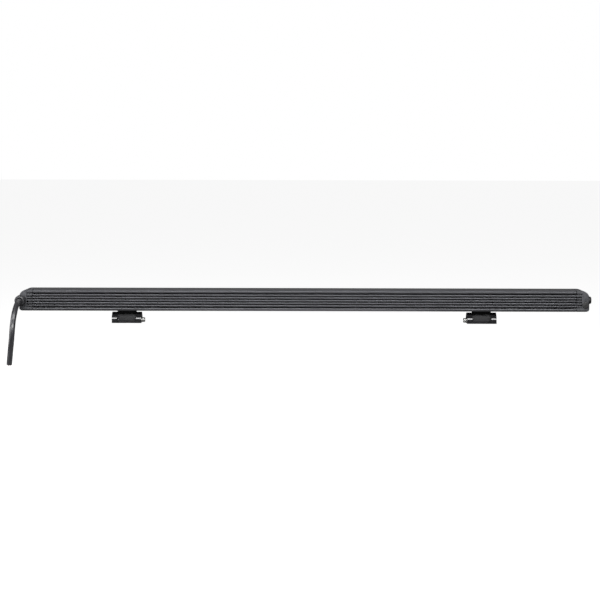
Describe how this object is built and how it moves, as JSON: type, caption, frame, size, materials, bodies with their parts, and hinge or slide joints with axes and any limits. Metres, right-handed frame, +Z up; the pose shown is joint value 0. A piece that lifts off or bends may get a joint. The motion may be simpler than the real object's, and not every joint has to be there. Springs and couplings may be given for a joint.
{
  "type": "led light bar",
  "caption": "Slim black LED light bar with a finned aluminium back, a clear front lens, a cable gland at one end and two tilting feet that slide in a slot under the bar.",
  "frame": {"origin": "midway between the two feet, on the plane that their undersides stand on", "axes": "+X along the bar, away from the cable's end; +Y the way the beam points; +Z up"},
  "size_m": [1.074, 0.143, 0.1323],
  "materials": {
    "black_anodised": "satin black anodised",
    "black_matte": "matte powder coat",
    "black_cast": "fine powder coat",
    "black_gloss": "smooth gloss black",
    "bezel_black": "satin",
    "clear_lens": "clear polycarbonate",
    "black_rubber": "matte",
    "cable_jacket": "slightly shiny",
    "reflector_chrome": "vacuum metallised",
    "board_white": "white solder mask on aluminium",
    "chip_yellow": "phosphor under silicone",
    "steel": "bright zinc",
    "screw_black": "black oxide",
    "board_green": "solder mask",
    "component_black": "moulded",
    "ferrite_copper": "enamelled copper",
    "capacitor_sleeve": "sleeved",
    "wire_red": "insulation",
    "wire_black": "insulation",
    "copper": "bare strand",
    "vent_black": "moulded",
    "gland_black": "moulded nylon"
  },
  "bodies": {
    "left_foot_set": {"left_foot": "black_gloss", "left_pivot_bolt": "steel", "left_pivot_washer": "steel"},
    "left_knuckle_set": {"left_knuckle": "black_matte", "left_slider": "steel", "left_clamp_screws": "steel"},
    "lamp": {"housing": "black_anodised", "bezel_lower_rail": "bezel_black", "bezel_upper_rail": "bezel_black", "left_bezel_end": "bezel_black", "right_bezel_end": "bezel_black", "bezel_screws": "screw_black", "lens": "clear_lens", "lens_gasket": "black_rubber", "reflector_left": "reflector_chrome", "reflector_center": "reflector_chrome", "reflector_right": "reflector_chrome", "led_board_left": "board_white", "led_board_center": "board_white", "led_board_right": "board_white", "led_chips_left": "chip_yellow", "led_chips_center": "chip_yellow", "led_chips_right": "chip_yellow", "module_screws": "steel", "driver_board": "board_green", "driver_capacitors": "capacitor_sleeve", "driver_inductors": "ferrite_copper", "driver_chips": "component_black", "supply_lead_red": "wire_red", "supply_lead_black": "wire_black", "led_leads_red": "wire_red", "led_leads_black": "wire_black", "left_end_cap": "black_cast", "right_end_cap": "black_cast", "left_cap_gasket": "black_rubber", "right_cap_gasket": "black_rubber", "left_cap_screws": "screw_black", "right_cap_screws": "screw_black", "left_side_bolt": "screw_black", "right_side_bolt": "screw_black", "left_side_washer": "screw_black", "right_side_washer": "screw_black", "vent_plug": "vent_black", "vent_seal": "black_rubber", "gland_body": "gland_black", "gland_nut": "gland_black", "gland_seal": "black_rubber", "power_cable": "cable_jacket", "cable_cores": "copper"},
    "right_knuckle_set": {"right_knuckle": "black_matte", "right_slider": "steel", "right_clamp_screws": "steel"},
    "right_foot_set": {"right_foot": "black_gloss", "right_pivot_bolt": "steel", "right_pivot_washer": "steel"}
  },
  "joints": [
    {"name": "left_tilt", "type": "hinge", "parent": "left_foot_set", "child": "left_knuckle_set", "pos_m": [-0.331, 0, 0.0052], "axis": [1, 0, 0], "range_deg": [-40, 40]},
    {"name": "left_slide", "type": "slide", "parent": "left_knuckle_set", "child": "lamp", "axis": [1, 0, 0], "range_m": [-0.27, 0.15]},
    {"name": "right_slide", "type": "slide", "parent": "lamp", "child": "right_knuckle_set", "axis": [1, 0, 0], "range_m": [-0.27, 0.15]},
    {"name": "right_tilt", "type": "hinge", "parent": "right_knuckle_set", "child": "right_foot_set", "pos_m": [0.331, 0, 0.0052], "axis": [1, 0, 0], "range_deg": [-40, 40]}
  ],
  "couplings": [
    {"joint": "right_tilt", "follows": "left_tilt", "ratio": -1}
  ]
}
